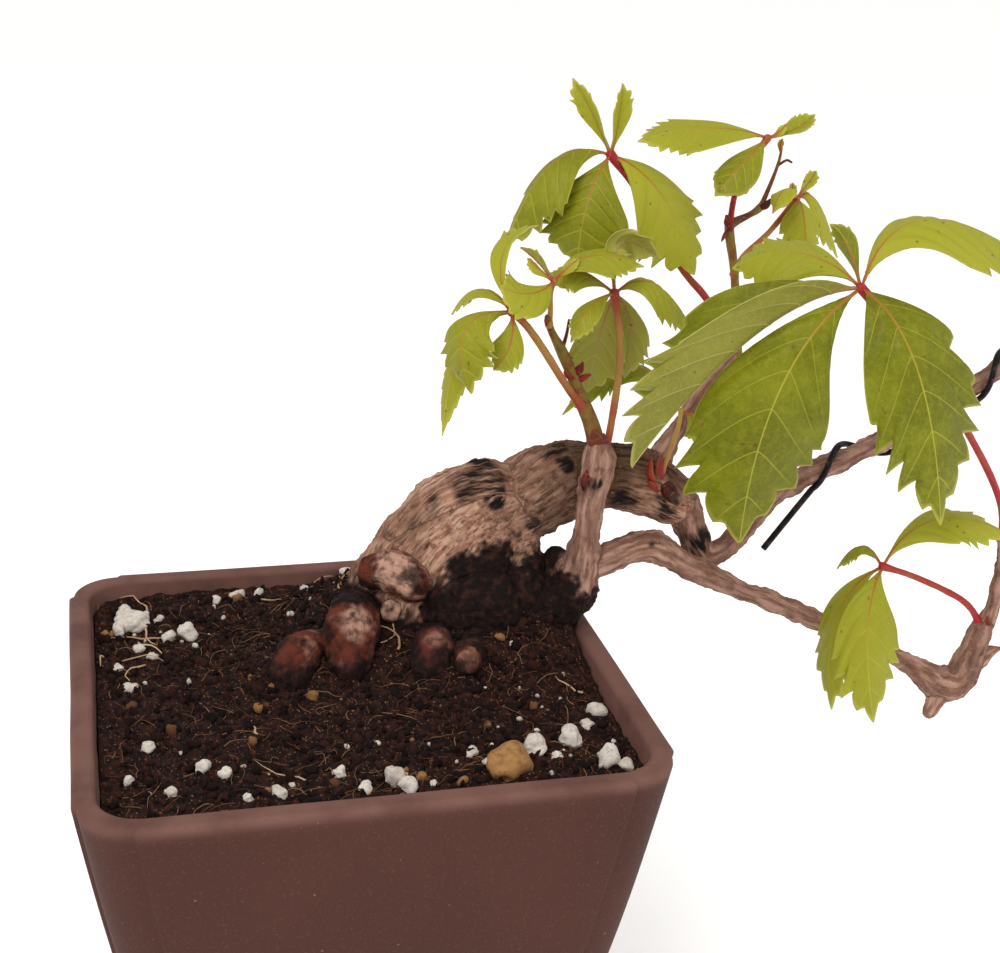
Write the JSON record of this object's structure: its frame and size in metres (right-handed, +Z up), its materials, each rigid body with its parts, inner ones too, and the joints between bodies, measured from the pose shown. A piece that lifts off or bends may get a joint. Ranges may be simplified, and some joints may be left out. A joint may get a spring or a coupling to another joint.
{
  "type": "bonsai tree in a pot",
  "caption": "Woodbine bonsai with a stout leaning trunk, swollen surface roots, a wired branch and five-part toothed leaves, in a square stoneware training pot.",
  "frame": {"origin": "centre of the pot's flat underside", "axes": "+Z up, +X along the pot's front face towards the side the tree leans to, +Y to the back"},
  "size_m": [0.2746, 0.1396, 0.2503],
  "materials": {
    "pot": "unglazed brown stoneware, matte",
    "drain_mesh": "moulded polyethylene mesh",
    "soil": "loose dark peat mix",
    "bark": "fibrous grey-brown bark",
    "wire": "black anodised, satin",
    "shoot": "green-brown young stem",
    "petiole": "red leaf stalk, satin",
    "leaf": "fresh green leaf blade, satin",
    "akadama": "baked clay granule, matte",
    "pumice": "porous pumice, matte"
  },
  "bodies": {
    "root": {"pot": "pot", "drain_mesh": "drain_mesh", "soil": "soil", "trunk_and_branches": "bark", "training_wire": "wire", "front_shoot": "shoot", "back_shoot": "shoot", "leaf_a_petiole": "petiole", "leaf_a_leaflet_1": "leaf", "leaf_a_leaflet_2": "leaf", "leaf_a_leaflet_3": "leaf", "leaf_a_leaflet_4": "leaf", "leaf_a_leaflet_5": "leaf", "leaf_a_leaflet_6": "leaf", "leaf_c_petiole": "petiole", "leaf_c_leaflet_1": "leaf", "leaf_c_leaflet_2": "leaf", "leaf_c_leaflet_3": "leaf", "leaf_c_leaflet_4": "leaf", "leaf_c_leaflet_5": "leaf", "leaf_d_petiole": "petiole", "leaf_d_leaflet_1": "leaf", "leaf_d_leaflet_2": "leaf", "leaf_d_leaflet_3": "leaf", "leaf_d_leaflet_4": "leaf", "leaf_d_leaflet_5": "leaf", "leaf_d_leaflet_6": "leaf", "leaf_e_petiole": "petiole", "leaf_e_leaflet_1": "leaf", "leaf_e_leaflet_2": "leaf", "leaf_e_leaflet_3": "leaf", "leaf_e_leaflet_4": "leaf", "leaf_e_leaflet_5": "leaf", "leaf_f_petiole": "petiole", "leaf_f_leaflet_1": "leaf", "leaf_f_leaflet_2": "leaf", "leaf_f_leaflet_3": "leaf", "leaf_g_petiole": "petiole", "leaf_g_leaflet_1": "leaf", "leaf_g_leaflet_2": "leaf", "leaf_g_leaflet_3": "leaf", "leaf_h_petiole": "petiole", "leaf_h_leaflet_1": "leaf", "leaf_h_leaflet_2": "leaf", "leaf_h_leaflet_3": "leaf", "leaf_h_leaflet_4": "leaf", "leaf_i_petiole": "petiole", "leaf_i_leaflet_1": "leaf", "leaf_i_leaflet_2": "leaf", "leaf_i_leaflet_3": "leaf", "leaf_i_leaflet_4": "leaf", "leaf_j_petiole": "petiole", "leaf_j_leaflet_1": "leaf", "leaf_j_leaflet_2": "leaf", "akadama_lump": "akadama", "pumice_grain_1": "pumice", "pumice_grain_2": "pumice", "pumice_grain_3": "pumice"}
  },
  "joints": []
}
